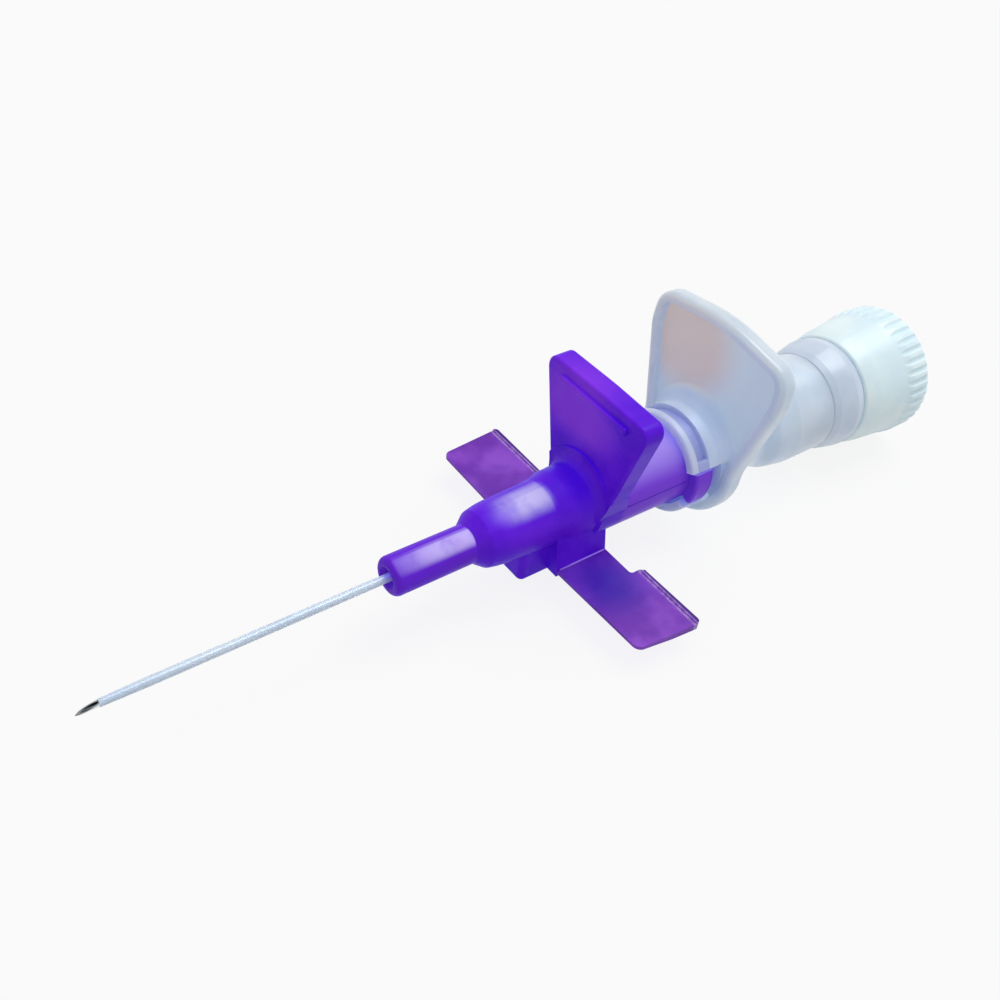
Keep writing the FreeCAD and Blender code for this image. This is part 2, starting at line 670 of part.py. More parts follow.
def collar():
    """Skirt over the hub mouth: two shells with a slot each side for the lugs."""
    face_x = GRIP_X0 + SWEEP_LAP
    inside_x = (GRIP_X0 + GRIP_BACK_X) / 2
    skirt = turned([
        (-COLLAR_REACH, COLLAR_BORE_R, 0),
        (-COLLAR_REACH, COLLAR_R, COLLAR_LIP_ROUND),
        (0, COLLAR_ROOT_R, COLLAR_ROOT_ROUND),
        (face_x, FLANGE_R, 0),
        (inside_x, FLANGE_R, 0),
        (inside_x, PASSAGE_R, 0),
        (WEB_GAP, PASSAGE_R, 0),
        (WEB_GAP, COLLAR_BORE_R, WEB_ROUND),
    ])
    # A wide hollow sweep joins the upper shell to the face of the plate, inside its rim.
    low_r = COLLAR_ROOT_R - SWEEP_SINK
    top_r = low_r + SWEEP_R + SWEEP_OVER
    mid_r = (COLLAR_BORE_R + low_r) / 2
    deep_x = GRIP_X0 + SWEEP_DEPTH
    start_x = deep_x - SWEEP_R - SWEEP_REST
    profile = rounded_face([
        (start_x, mid_r, 0),
        (start_x, low_r, 0),
        (deep_x, low_r, SWEEP_R),
        (deep_x, top_r, 0),
        (inside_x, top_r, 0),
        (inside_x, mid_r, 0),
    ], lambda a, b: V(a, b, 0))
    sweep = profile.revolve(ORIGIN, AXIS, 180 - 2 * SLOT_TOP_DEG)
    sweep.rotate(ORIGIN, AXIS, SLOT_TOP_DEG)
    inner = grip_outline().makeOffset2D(-GRIP_RIM - SWEEP_LAP)
    inner.translate(V(-SWEEP_TRIM_FRONT, 0, 0))
    sweep = sweep.common(lean_back(inner.extrude(V(SWEEP_TRIM_LENGTH, 0, 0))))
    skirt = skirt.fuse(sweep)
    slot = sector(-2 * COLLAR_REACH, SLOT_END_X, MOUTH_R, GRIP_LOW_R + COLLAR_WALL,
                  SLOT_LOW_DEG, SLOT_TOP_DEG)
    skirt = skirt.cut(both_sides(slot))
    # A thin band framed by the thick edges shows the violet hub through the collar.
    start = SLOT_TOP_DEG + WINDOW_EDGE_DEG
    window = sector(WINDOW_X0, WINDOW_X1, COLLAR_BORE_R + WINDOW_WALL, GRIP_LOW_R,
                    start, 180 - start)
    return skirt.cut(window)


def make_needle_hub():
    root_x = (WEB_GAP + GRIP_BACK_X) / 2
    plate_x = GRIP_BACK_X - GRIP_EDGE - NECK_DRAFT
    male_root = SOCKET_R - LUER_GAP + CONE * WEB_GAP
    male_tip = SOCKET_R - LUER_GAP - CONE * MALE_REACH
    needle_r = NEEDLE_R + BOND_GAP
    bond_x = -MALE_REACH + BOND_LENGTH
    core = turned([
        (-MALE_REACH, 0, 0),
        (-MALE_REACH, male_tip, MALE_ROUND),
        (root_x, male_root, 0),
        (root_x, FLANGE_R - NECK_DRAFT, 0),
        (plate_x, FLANGE_R - NECK_DRAFT, 0),
        (NECK_X0, NECK_R + NECK_DRAFT, NECK_ROUND),
        (NECK_X1, NECK_R, NECK_END_ROUND),
        (WAIST_X, WAIST_R, WAIST_ROUND),
        (CHAMBER_X0, CHAMBER_R, CHAMBER_ROUND),
        (CHAMBER_X1, CHAMBER_R, CHAMBER_EDGE),
        (CHAMBER_X1, 0, 0),
    ])
    body = core.fuse([collar(), grip_plate()])
    inside = turned([
        (-2 * MALE_REACH, 0, 0),
        (-2 * MALE_REACH, needle_r, 0),
        (bond_x, needle_r, 0),
        (bond_x + PASSAGE_TAPER, PASSAGE_R, 0),
        (CHAMBER_FLOOR_X - CHAMBER_TAPER, PASSAGE_R, 0),
        (CHAMBER_FLOOR_X, CHAMBER_BORE_R, CHAMBER_FLOOR_ROUND),
        (CHAMBER_X1 + CHAMBER_WALL, CHAMBER_BORE_R, 0),
        (CHAMBER_X1 + CHAMBER_WALL, 0, 0),
    ])
    return body.cut(inside).removeSplitter()


def make_plug():
    return turned([
        (PLUG_X0, PLUG_SEAT_R, 0),
        (PLUG_X0, SPIGOT_R, SPIGOT_ROUND),
        (CHAMBER_X1, SPIGOT_R, 0),
        (CHAMBER_X1, CHAMBER_R, CHAMBER_EDGE),
        (PLUG_SHOULDER_X, CHAMBER_R + PLUG_SHOULDER_RISE, PLUG_SHOULDER_ROUND),
        (PLUG_END_X - PLUG_BAND, PLUG_R, PLUG_ROUND),
        (PLUG_END_X, PLUG_R - PLUG_DRAFT, PLUG_EDGE),
        (PLUG_END_X, TAIL_R, 0),
        (TAIL_END_X, TAIL_R - CONE * TAIL_LENGTH, TAIL_ROUND),
        (TAIL_END_X, TAIL_BORE_R, 0),
        (PLUG_LEDGE_X, TAIL_BORE_R, 0),
        (PLUG_LEDGE_X, PLUG_SEAT_R, 0),
    ])


def make_filter():
    start = V(PLUG_LEDGE_X - FILTER_THICK, 0, 0)
    return Part.makeCylinder(PLUG_SEAT_R - BOND_GAP, FILTER_THICK, start, AXIS)


def make_cap():
    floor_r = CAP_MOUTH_R - CONE * TAIL_LENGTH
    dish_x = CAP_END_X - CAP_DISH
    shell = turned([
        (CAP_X0, CAP_MOUTH_R, 0),
        (CAP_X0, CAP_FRONT_R, CAP_FRONT_ROUND),
        (CAP_BELLY_X, CAP_BELLY_R, CAP_BELLY_ROUND),
        (CAP_RIM_X, CAP_RIM_R, 0),
        (CAP_FLARE_X, CAP_R, CAP_BAND_ROUND),
        (CAP_END_X, CAP_R, CAP_END_ROUND),
        (CAP_END_X, CAP_DISH_R, CAP_DISH_TAPER / 2),
        (dish_x, CAP_DISH_R - CAP_DISH_TAPER, CAP_DISH_TAPER),
        (dish_x, 0, 0),
        (CAP_FLOOR_X, 0, 0),
        (CAP_FLOOR_X, floor_r, 0),
    ])
    pocket = turned([
        (CAP_X0 - CAP_BELLY, CAP_HUB_R, 0),
        (CAP_X0 - CAP_BELLY, CAP_SKIN_R, 0),
        (CAP_POCKET_X, CAP_SKIN_R, CAP_FRONT_ROUND),
        (CAP_POCKET_X, CAP_HUB_R, CAP_FRONT_ROUND),
    ])
    shell = shell.cut(pocket)
    # Grooves run out towards the front, so the ribs between them fade into the skirt.
    front = V(RIB_CUT_X, 0, CAP_RIM_R + RIB_CUT_R)
    rear = V(CAP_END_X + CAP_END_ROUND, 0, CAP_R + RIB_CUT_R - RIB_CUT_SINK)
    way = rear - front
    groove = Part.makeCylinder(RIB_CUT_R, way.Length, front, way)
    grooves = []
    for i in range(RIBS):
        cutter = groove.copy()
        cutter.rotate(ORIGIN, AXIS, 360.0 * i / RIBS)
        grooves.append(cutter)
    return shell.cut(grooves)


os.makedirs("parts", exist_ok=True)
wing_left = make_wing_left()

pieces = {
    "needle": make_needle(),
    "catheter_tube": make_tube(),
    "catheter_ferrule": make_ferrule(),
    "catheter_hub": make_hub(),
    "wing_left": wing_left,
    "wing_right": both_sides(wing_left)[1],
    "needle_hub": make_needle_hub(),
    "vent_plug": make_plug(),
    "vent_filter": make_filter(),
    "luer_cap": make_cap(),
}

for name, shape in pieces.items():
    if shape.ShapeType == "Compound" and len(shape.Solids) == 1:
        shape = shape.Solids[0]
    b = shape.BoundBox
    print(name, shape.isValid(), len(shape.Solids), round(shape.Volume, 3),
          [round(v, 2) for v in (b.XMin, b.XMax, b.YMin, b.YMax, b.ZMin, b.ZMax)])
    shape.exportStep("parts/" + name + ".step")
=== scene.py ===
# %% [markdown]
# A small winged cannula for fine veins. A steel needle runs inside a thin plastic tube. The tube
# sits in a violet hub with a thumb plate and two wings, and behind it come a clear needle hub with
# a finger plate, a clear vent plug and a white cap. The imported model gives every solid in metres,
# with the needle along X and its point towards minus X, so this script dresses it and adds four
# fine lines to the violet parts.

import math
import bmesh
import bpy
from mathutils import Matrix, Vector


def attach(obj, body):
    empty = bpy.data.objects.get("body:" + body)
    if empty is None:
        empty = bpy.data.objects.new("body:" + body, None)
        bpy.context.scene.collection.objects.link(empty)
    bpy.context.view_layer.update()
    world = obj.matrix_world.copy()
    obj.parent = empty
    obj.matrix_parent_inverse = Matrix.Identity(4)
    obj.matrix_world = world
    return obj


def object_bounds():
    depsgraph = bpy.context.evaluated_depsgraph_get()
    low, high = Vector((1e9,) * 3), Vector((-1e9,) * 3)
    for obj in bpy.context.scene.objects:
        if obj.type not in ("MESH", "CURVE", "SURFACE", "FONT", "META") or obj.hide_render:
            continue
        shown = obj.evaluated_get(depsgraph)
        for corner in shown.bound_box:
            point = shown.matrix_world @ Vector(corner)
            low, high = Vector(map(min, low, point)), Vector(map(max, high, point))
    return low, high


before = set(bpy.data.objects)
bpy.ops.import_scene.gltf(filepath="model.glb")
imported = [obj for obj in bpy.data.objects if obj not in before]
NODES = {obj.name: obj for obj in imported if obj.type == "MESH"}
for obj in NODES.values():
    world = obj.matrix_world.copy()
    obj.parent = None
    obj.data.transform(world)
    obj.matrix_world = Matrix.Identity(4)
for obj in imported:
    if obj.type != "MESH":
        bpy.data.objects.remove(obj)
CAD_LOW, CAD_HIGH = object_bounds()
MM = 0.001
print("pieces from the packed model:", ", ".join(sorted(NODES)))
print("size in mm:", [round((b - a) / MM, 2) for a, b in zip(CAD_LOW, CAD_HIGH)])

# %% [markdown]
# Colours are written as a painter would pick them on screen, from 0 to 255, and turned into the
# linear values that shaders work in. A finish starts as Blender's own material, whose one
# Principled shader gets its plain values here.

# %% Helpers for finishes
def screen(red, green, blue):
    """Linear colour for a screen colour given from 0 to 255."""
    line = []
    for part in (red / 255, green / 255, blue / 255):
        line.append(part / 12.92 if part <= 0.04045 else ((part + 0.055) / 1.055) ** 2.4)
    return (*line, 1.0)


def new_finish(name, **values):
    """A material with one Principled shader, set by socket names with _ for spaces."""
    finish = bpy.data.materials.new(name)
    finish.use_nodes = True
    shader = finish.node_tree.nodes["Principled BSDF"]
    for socket, value in values.items():
        shader.inputs[socket.replace("_", " ")].default_value = value
    return finish, finish.node_tree, shader


def put_on(finish, *names):
    """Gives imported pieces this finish."""
    for name in names:
        slots = NODES[name].data.materials
        slots.clear()
        slots.append(finish)
    print(finish.name, "on", ", ".join(names))


# %% [markdown]
# Moulded plastic is never one flat colour. The melt leaves soft clouds where it flowed, and the
# steel mould leaves a fine spark-eroded grain. Both are the same kind of mark on every plastic
# piece, so they are one shader group, placed in each finish with its own values. It reads the
# object's own coordinates, which are metres, so a scale of 400 makes clouds of about 2.5 mm.

# %% Node group: flow and grain of moulded plastic
def new_group(name, inputs, outputs):
    """An empty shader group with named number, vector or colour sockets."""
    group = bpy.data.node_groups.new(name, "ShaderNodeTree")
    for label, kind, value in inputs:
        socket = group.interface.new_socket(label, in_out="INPUT", socket_type="NodeSocket" + kind)
        if value is not None:
            socket.default_value = value
    for label, kind in outputs:
        group.interface.new_socket(label, in_out="OUTPUT", socket_type="NodeSocket" + kind)
    way_in = group.nodes.new("NodeGroupInput")
    way_out = group.nodes.new("NodeGroupOutput")
    return group, way_in, way_out


def noise(tree, vector, scale, detail, roughness):
    """Soft noise from nought to one. The scale may be a number or a socket."""
    node = tree.nodes.new("ShaderNodeTexNoise")
    node.inputs["Detail"].default_value = detail
    node.inputs["Roughness"].default_value = roughness
    tree.links.new(vector, node.inputs["Vector"])
    if isinstance(scale, (int, float)):
        node.inputs["Scale"].default_value = scale
    else:
        tree.links.new(scale, node.inputs["Scale"])
    return node.outputs["Fac"]


def spread(tree, value, low, high, to_low=0.0, to_high=1.0):
    """Maps value from low..high to to_low..to_high, smoothly at both ends."""
    node = tree.nodes.new("ShaderNodeMapRange")
    node.interpolation_type = "SMOOTHSTEP"
    tree.links.new(value, node.inputs["Value"])
    for socket, number in (("From Min", low), ("From Max", high),
                           ("To Min", to_low), ("To Max", to_high)):
        node.inputs[socket].default_value = number
    return node.outputs["Result"]


MOULDED, way_in, way_out = new_group(
    "moulded_flow",
    [("Vector", "Vector", None), ("Cloud Scale", "Float", 400.0), ("Grain Scale", "Float", 9000.0)],
    [("Clouds", "Float"), ("Streaks", "Float"), ("Grain", "Float")])
clouds = noise(MOULDED, way_in.outputs["Vector"], way_in.outputs["Cloud Scale"], 3.0, 0.55)
MOULDED.links.new(spread(MOULDED, clouds, 0.36, 0.66), way_out.inputs["Clouds"])
stretch = MOULDED.nodes.new("ShaderNodeMapping")
stretch.inputs["Scale"].default_value = (0.25, 1.6, 1.6)
MOULDED.links.new(way_in.outputs["Vector"], stretch.inputs["Vector"])
streaks = noise(MOULDED, stretch.outputs["Vector"], way_in.outputs["Cloud Scale"], 4.0, 0.6)
MOULDED.links.new(spread(MOULDED, streaks, 0.35, 0.68), way_out.inputs["Streaks"])
grain = noise(MOULDED, way_in.outputs["Vector"], way_in.outputs["Grain Scale"], 2.0, 0.6)
MOULDED.links.new(grain, way_out.inputs["Grain"])
print("group:", MOULDED.name, "with", len(MOULDED.nodes), "nodes")


# %% [markdown]
# A finish places the group once, with clouds of its own size. The grain also lifts the skin, by
# about a hundredth of a millimetre on most pieces, so a highlight breaks up a little as it does on
# a real moulded face. The clouds then blend two colours that lie close together.

# %% Place the group in a finish
def mould_marks(tree, shader, clouds, grain=9000.0, bump=0.01):
    """Adds the flow group and its fine bump, in mm, and returns the group's node."""
    place = tree.nodes.new("ShaderNodeTexCoord")
    marks = tree.nodes.new("ShaderNodeGroup")
    marks.node_tree = MOULDED
    marks.inputs["Cloud Scale"].default_value = clouds
    marks.inputs["Grain Scale"].default_value = grain
    tree.links.new(place.outputs["Object"], marks.inputs["Vector"])
    raise_up = tree.nodes.new("ShaderNodeBump")
    raise_up.inputs["Strength"].default_value = 0.5
    raise_up.inputs["Distance"].default_value = bump * MM
    tree.links.new(marks.outputs["Grain"], raise_up.inputs["Height"])
    tree.links.new(raise_up.outputs["Normal"], shader.inputs["Normal"])
    return marks


def mix_colours(tree, mask, low, high):
    """Colour that goes from low to high with the mask. Each may be a colour or a socket."""
    node = tree.nodes.new("ShaderNodeMix")
    node.data_type = "RGBA"
    tree.links.new(mask, node.inputs["Factor"])
    for label, value in (("A", low), ("B", high)):
        socket = next(s for s in node.inputs if s.name == label and s.type == "RGBA")
        if isinstance(value, tuple):
            socket.default_value = value
        else:
            tree.links.new(value, socket)
    return next(s for s in node.outputs if s.type == "RGBA")


def colour_by(tree, shader, mask, low, high):
    """Lets the mask take the skin's colour from low to high."""
    tree.links.new(mix_colours(tree, mask, low, high), shader.inputs["Base Color"])


def rough_by(tree, shader, mask, low, high):
    """Lets the mask take the skin's roughness from low to high."""
    tree.links.new(spread(tree, mask, 0.0, 1.0, low, high), shader.inputs["Roughness"])


def let_lamps_through(tree, shader, tint):
    """Shadow rays pass a see-through plastic with this tint, as light does in the real one."""
    out = tree.nodes["Material Output"]
    path = tree.nodes.new("ShaderNodeLightPath")
    clear = tree.nodes.new("ShaderNodeBsdfTransparent")
    clear.inputs["Color"].default_value = tint
    mixer = tree.nodes.new("ShaderNodeMixShader")
    tree.links.new(path.outputs["Is Shadow Ray"], mixer.inputs["Fac"])
    tree.links.new(shader.outputs["BSDF"], mixer.inputs[1])
    tree.links.new(clear.outputs["BSDF"], mixer.inputs[2])
    tree.links.new(mixer.outputs["Shader"], out.inputs["Surface"])


# %% [markdown]
# The cannula hub and its wings are one violet plastic. It holds a little white pigment, so most of
# the light scatters at the skin, and the rest goes on through the wall and is dyed on the way. One
# recipe makes all the dyed plastics: the shader passes part of the light, and a volume inside
# soaks up what the dye takes. Masks in the piece's own coordinates then tint places on the skin,
# mostly with painted highlights, glow and shade: a stretch along one axis, a round spot, a thin
# core, or the skin that faces one way.

# %% Recipe for dyed plastic
def dyed_plastic(name, skin, clear, dye, density, lamps, rough=(0.34, 0.46), **values):
    """Translucent plastic: two colours cloud the skin, and dye of a density fills the wall."""
    finish, tree, shader = new_finish(name, IOR=1.49, Transmission_Weight=clear, **values)
    marks = mould_marks(tree, shader, clouds=300.0)
    colour_by(tree, shader, marks.outputs["Clouds"], *skin)
    rough_by(tree, shader, marks.outputs["Streaks"], *rough)
    soak = tree.nodes.new("ShaderNodeVolumeAbsorption")
    soak.inputs["Color"].default_value = dye
    soak.inputs["Density"].default_value = density
    tree.links.new(soak.outputs["Volume"], tree.nodes["Material Output"].inputs["Volume"])
    let_lamps_through(tree, shader, lamps)
    return finish, tree, shader


def between(tree, axis, low, high):
    """Mask that goes from nought to one between two places along an axis, in mm."""
    place = tree.nodes.new("ShaderNodeTexCoord")
    split = tree.nodes.new("ShaderNodeSeparateXYZ")
    tree.links.new(place.outputs["Object"], split.inputs["Vector"])
    return spread(tree, split.outputs[axis], low * MM, high * MM)


def round_spot(tree, centre, inner, outer):
    """Mask that is one within inner mm of a point and nought beyond outer mm."""
    place = tree.nodes.new("ShaderNodeTexCoord")
    far = tree.nodes.new("ShaderNodeVectorMath")
    far.operation = "DISTANCE"
    tree.links.new(place.outputs["Object"], far.inputs[0])
    far.inputs[1].default_value = tuple(v * MM for v in centre)
    return spread(tree, far.outputs["Value"], inner * MM, outer * MM, 1.0, 0.0)


def near_axis(tree, inner, outer):
    """Mask that is one within inner mm of the needle's axis and nought beyond outer mm."""
    place = tree.nodes.new("ShaderNodeTexCoord")
    flat = tree.nodes.new("ShaderNodeVectorMath")
    flat.operation = "MULTIPLY"
    tree.links.new(place.outputs["Object"], flat.inputs[0])
    flat.inputs[1].default_value = (0.0, 1.0, 1.0)
    far = tree.nodes.new("ShaderNodeVectorMath")
    far.operation = "LENGTH"
    tree.links.new(flat.outputs["Vector"], far.inputs[0])
    return spread(tree, far.outputs["Value"], inner * MM, outer * MM, 1.0, 0.0)


def facing(tree, way, low, high):
    """Mask of the skin that faces one way: nought where the match is low, one where high."""
    place = tree.nodes.new("ShaderNodeTexCoord")
    match = tree.nodes.new("ShaderNodeVectorMath")
    match.operation = "DOT_PRODUCT"
    tree.links.new(place.outputs["Normal"], match.inputs[0])
    match.inputs[1].default_value = Vector(way).normalized()
    return spread(tree, match.outputs["Value"], low, high)


def patches(tree, scale):
    """Soft uneven patches over a piece, from nought to one."""
    place = tree.nodes.new("ShaderNodeTexCoord")
    return noise(tree, place.outputs["Object"], scale, 3.0, 0.55)


def all_of(tree, *masks, share=1.0):
    """Mask that is one where all these masks are, times a share."""
    value = masks[0]
    for mask in masks[1:] + (share,):
        node = tree.nodes.new("ShaderNodeMath")
        node.operation = "MULTIPLY"
        tree.links.new(value, node.inputs[0])
        if isinstance(mask, float):
            node.inputs[1].default_value = mask
        else:
            tree.links.new(mask, node.inputs[1])
        value = node.outputs["Value"]
    return value


def tint_where(tree, shader, mask, colour):
    """Turns the skin towards a colour where the mask is one."""
    now = shader.inputs["Base Color"].links[0].from_socket
    colour_by(tree, shader, mask, now, colour)


# %% [markdown]
# The dye is strong, so thick walls are deep blue-violet. Over the socket and along the nose the
# violet is lighter, and the tops of the socket, the nose and the taper carry painted pale lavender
# highlights. The thumb plate stands free with light behind it, and its middle has a painted purple
# glow. Each place below is an axis with two ends of a soft step, in mm, or a centre with two radii.

# %% Violet plastic of the hub
DYE = (0.30, 0.02, 0.94, 1.0)
DYE_DENSITY = 420.0
ABOVE_TAPER = ("Z", 3.4, 5.4)
PLATE_GLOW_SPOT = ((-10.0, 1.4, 6.4), 1.6, 5.0)
BARREL = ("X", -8.2, -7.6)
ON_BARREL = (0.30, 0.05, 0.95)
NOSE = ("X", -18.6, -20.2)
NOSE_REAR, NOSE_FRONT = ("X", -18.7, -19.4), ("X", -26.6, -21.5)
ON_NOSE = (0.0, -0.375, 0.927)
TAPER_FRONT, TAPER_REAR = ("X", -18.4, -15.2), ("X", -12.9, -13.6)
ON_TAPER = (0.25, -0.18, 0.95)
violet, tree, shader = dyed_plastic(
    "violet_hub_plastic", (screen(96, 20, 228), screen(114, 34, 240)), 0.12, DYE, DYE_DENSITY,
    lamps=screen(150, 90, 235), Specular_IOR_Level=0.06)
# Painted purple glow in the middle of the thumb plate.
plate_painted_glow = all_of(tree, between(tree, *ABOVE_TAPER), round_spot(tree, *PLATE_GLOW_SPOT))
tint_where(tree, shader, plate_painted_glow, screen(146, 58, 240))
barrel = between(tree, *BARREL)
tint_where(tree, shader, barrel, screen(136, 70, 236))
# Painted highlight along the top of the socket.
barrel_painted_highlight = all_of(tree, barrel, facing(tree, ON_BARREL, 0.25, 0.85))
tint_where(tree, shader, barrel_painted_highlight, screen(176, 148, 244))
tint_where(tree, shader, between(tree, *NOSE), screen(108, 36, 222))
cloudy = spread(tree, patches(tree, 520.0), 0.3, 0.62, 0.55, 1.0)
# Painted highlights along the tops of the nose and the taper.
nose_painted_highlight = all_of(tree, between(tree, *NOSE_REAR), between(tree, *NOSE_FRONT),
                  facing(tree, ON_NOSE, 0.80, 0.985), cloudy, share=0.96)
tint_where(tree, shader, nose_painted_highlight, screen(206, 188, 255))
taper_painted_highlight = all_of(tree, between(tree, *TAPER_FRONT), between(tree, *TAPER_REAR),
                   facing(tree, ON_TAPER, 0.74, 0.998), cloudy)
tint_where(tree, shader, taper_painted_highlight, screen(222, 214, 255))
put_on(violet, "catheter_hub")

# %% [markdown]
# A wing is a plate of the same plastic, about half a millimetre at its thickest, so it lets much
# more light through. It looks redder and patchy, with painted shade off the near root. The rim along
# its back edge has painted shade outside, and its inner slope has a painted highlight in short
# dashes.

# %% Violet plastic of the wings
THIN_DYE = (0.62, 0.16, 0.88, 1.0)
ROOT_SHADE_SPOT = ((-10.9, -5.6, -3.15), 0.6, 4.2)
SLOPE_FOOT, SLOPE_TOP = ("X", -8.44, -8.3), ("X", -8.02, -8.14)
BACK_EDGE = ("X", -8.10, -7.98)
thin_violet, tree, shader = dyed_plastic(
    "violet_wing_plastic", (screen(122, 48, 186), screen(156, 82, 214)), 0.34, THIN_DYE,
    DYE_DENSITY, lamps=screen(190, 150, 230), Specular_IOR_Level=0.12)
# Painted shade off the near root of the wing.
root_painted_shade = all_of(tree, round_spot(tree, *ROOT_SHADE_SPOT), share=0.9)
tint_where(tree, shader, root_painted_shade, screen(62, 20, 180))
# Painted highlight in short dashes on the inner slope of the rim.
dashes = spread(tree, patches(tree, 2600.0), 0.40, 0.60, 0.35, 1.0)
slope_painted_glint = all_of(tree, between(tree, *SLOPE_FOOT), between(tree, *SLOPE_TOP), dashes,
                     share=0.6)
tint_where(tree, shader, slope_painted_glint, screen(226, 196, 248))
# Painted shade on the outside of the rim along the back edge.
edge_painted_shade = all_of(tree, between(tree, *BACK_EDGE), share=0.8)
tint_where(tree, shader, edge_painted_shade, screen(58, 18, 130))
put_on(thin_violet, "wing_left", "wing_right")

# %% [markdown]
# The needle hub and the vent plug are clear plastic with thick walls. Seen close it is milky and
# bluish, so light soaks a little way in and comes out again beside where it entered, which
# subsurface scattering gives. The hollow of the finger plate is painted paler, as with light coming
# through the plate, and it carries a faint painted warm reflection. The thin band of the collar is
# painted with the lavender of the hub seen through it.

# %% Clear plastics
WATER = (0.62, 0.78, 0.92, 1.0)
WATER_DENSITY = 30.0
DISH, IN_DISH = ("X", 0.9, 1.5), ("X", 0.6, 1.0)
FORWARD = (-1.0, 0.0, 0.06)
WARM_REFLECTION_SPOT = ((1.0, 3.2, 7.8), 2.6, 6.0)
BAND_FRONT, BAND_REAR, BAND_FOOT = ("X", -1.82, -1.72), ("X", -0.68, -0.78), ("Z", 0.72, 0.9)
clear_plastic, tree, shader = dyed_plastic(
    "clear_hub_plastic", (screen(208, 223, 240), screen(220, 232, 246)), 0.16, WATER,
    WATER_DENSITY, lamps=screen(236, 243, 250), rough=(0.34, 0.48),
    Coat_Weight=0.5, Coat_Roughness=0.12,
    Subsurface_Weight=0.75, Subsurface_Scale=2.0 * MM, Subsurface_Radius=(1.0, 1.05, 1.1))
# Painted light: the hollow of the finger plate is paler.
hollow_painted_light = all_of(tree, between(tree, *DISH), facing(tree, FORWARD, 0.62, 0.99))
tint_where(tree, shader, hollow_painted_light, screen(228, 248, 254))
# Painted warm reflection in the hollow.
warm_painted_reflection = all_of(tree, round_spot(tree, *WARM_REFLECTION_SPOT), between(tree, *IN_DISH), hollow_painted_light, share=0.9)
tint_where(tree, shader, warm_painted_reflection, screen(240, 222, 208))
# Painted lavender of the violet hub seen through the thin band of the collar.
band_painted_see_through = all_of(tree, between(tree, *BAND_FRONT), between(tree, *BAND_REAR),
                   between(tree, *BAND_FOOT))
tint_where(tree, shader, band_painted_see_through, screen(172, 180, 222))
put_on(clear_plastic, "needle_hub")
frosted_plastic, tree, shader = dyed_plastic(
    "frosted_plug_plastic", (screen(208, 224, 243), screen(220, 233, 249)), 0.14, WATER,
    WATER_DENSITY, lamps=screen(234, 242, 250), rough=(0.36, 0.5),
    Coat_Weight=0.5, Coat_Roughness=0.3)
put_on(frosted_plastic, "vent_plug")

# %% [markdown]
# The cap is white plastic that is dense but not chalky: light goes in a little way and comes out
# again, which softens the shade between its ribs.

# %% White plastic of the cap
white_plastic, tree, shader = new_finish(
    "white_cap_plastic", Roughness=0.38, IOR=1.47, Coat_Weight=0.12, Coat_Roughness=0.2,
    Subsurface_Weight=0.35, Subsurface_Scale=0.6 * MM, Subsurface_Radius=(1.0, 1.05, 1.15))
marks = mould_marks(tree, shader, clouds=280.0)
colour_by(tree, shader, marks.outputs["Clouds"], screen(222, 243, 255), screen(232, 250, 255))
rough_by(tree, shader, marks.outputs["Streaks"], 0.33, 0.45)
put_on(white_plastic, "luer_cap")

# %% [markdown]
# The needle is drawn steel, polished along its length, so its fine marks run along X, and the
# inside of its hole has painted dark shade. The tube over it is thin, pale and half clear. The
# filter behind them is a porous disc, so it is matt and its grain is coarse.

# %% Steel, tube and filter
HOLE_SHADE = (0.118, 0.13)
steel, tree, shader = new_finish("drawn_steel", Metallic=1.0, Roughness=0.24)
place = tree.nodes.new("ShaderNodeTexCoord")
lengthwise = tree.nodes.new("ShaderNodeMapping")
lengthwise.inputs["Scale"].default_value = (0.06, 1.0, 1.0)
tree.links.new(place.outputs["Object"], lengthwise.inputs["Vector"])
drawn = noise(tree, lengthwise.outputs["Vector"], 16000.0, 3.0, 0.6)
colour_by(tree, shader, drawn, screen(212, 218, 225), screen(230, 234, 239))
tree.links.new(spread(tree, drawn, 0.3, 0.7, 0.20, 0.28), shader.inputs["Roughness"])
# Painted shade inside the needle's hole.
tint_where(tree, shader, near_axis(tree, *HOLE_SHADE), screen(46, 50, 58))
put_on(steel, "needle", "catheter_ferrule")

tube_plastic, tree, shader = new_finish(
    "clear_tube_plastic", Roughness=0.28, IOR=1.36, Transmission_Weight=0.5,
    Coat_Weight=0.12, Coat_Roughness=0.2)
marks = mould_marks(tree, shader, clouds=500.0, bump=0.0004)
colour_by(tree, shader, marks.outputs["Streaks"], screen(226, 238, 251), screen(236, 245, 254))
let_lamps_through(tree, shader, screen(225, 235, 245))
put_on(tube_plastic, "catheter_tube")

filter_plastic, tree, shader = new_finish("filter_disc_plastic", Roughness=0.85, IOR=1.45)
marks = mould_marks(tree, shader, clouds=900.0, grain=5200.0, bump=0.06)
colour_by(tree, shader, marks.outputs["Grain"], screen(214, 218, 220), screen(246, 247, 247))
put_on(filter_plastic, "vent_filter")

# %% [markdown]
# Two kinds of thin line finish the violet parts. A fine round bead is moulded along the root of
# each wing, where it bends, and its pale colour is a painted highlight. A darker violet hairline
# runs along each side of the barrel. Both are round rods that are half sunk in the skin, so one
# short function makes them from a cylinder that is laid between two points.

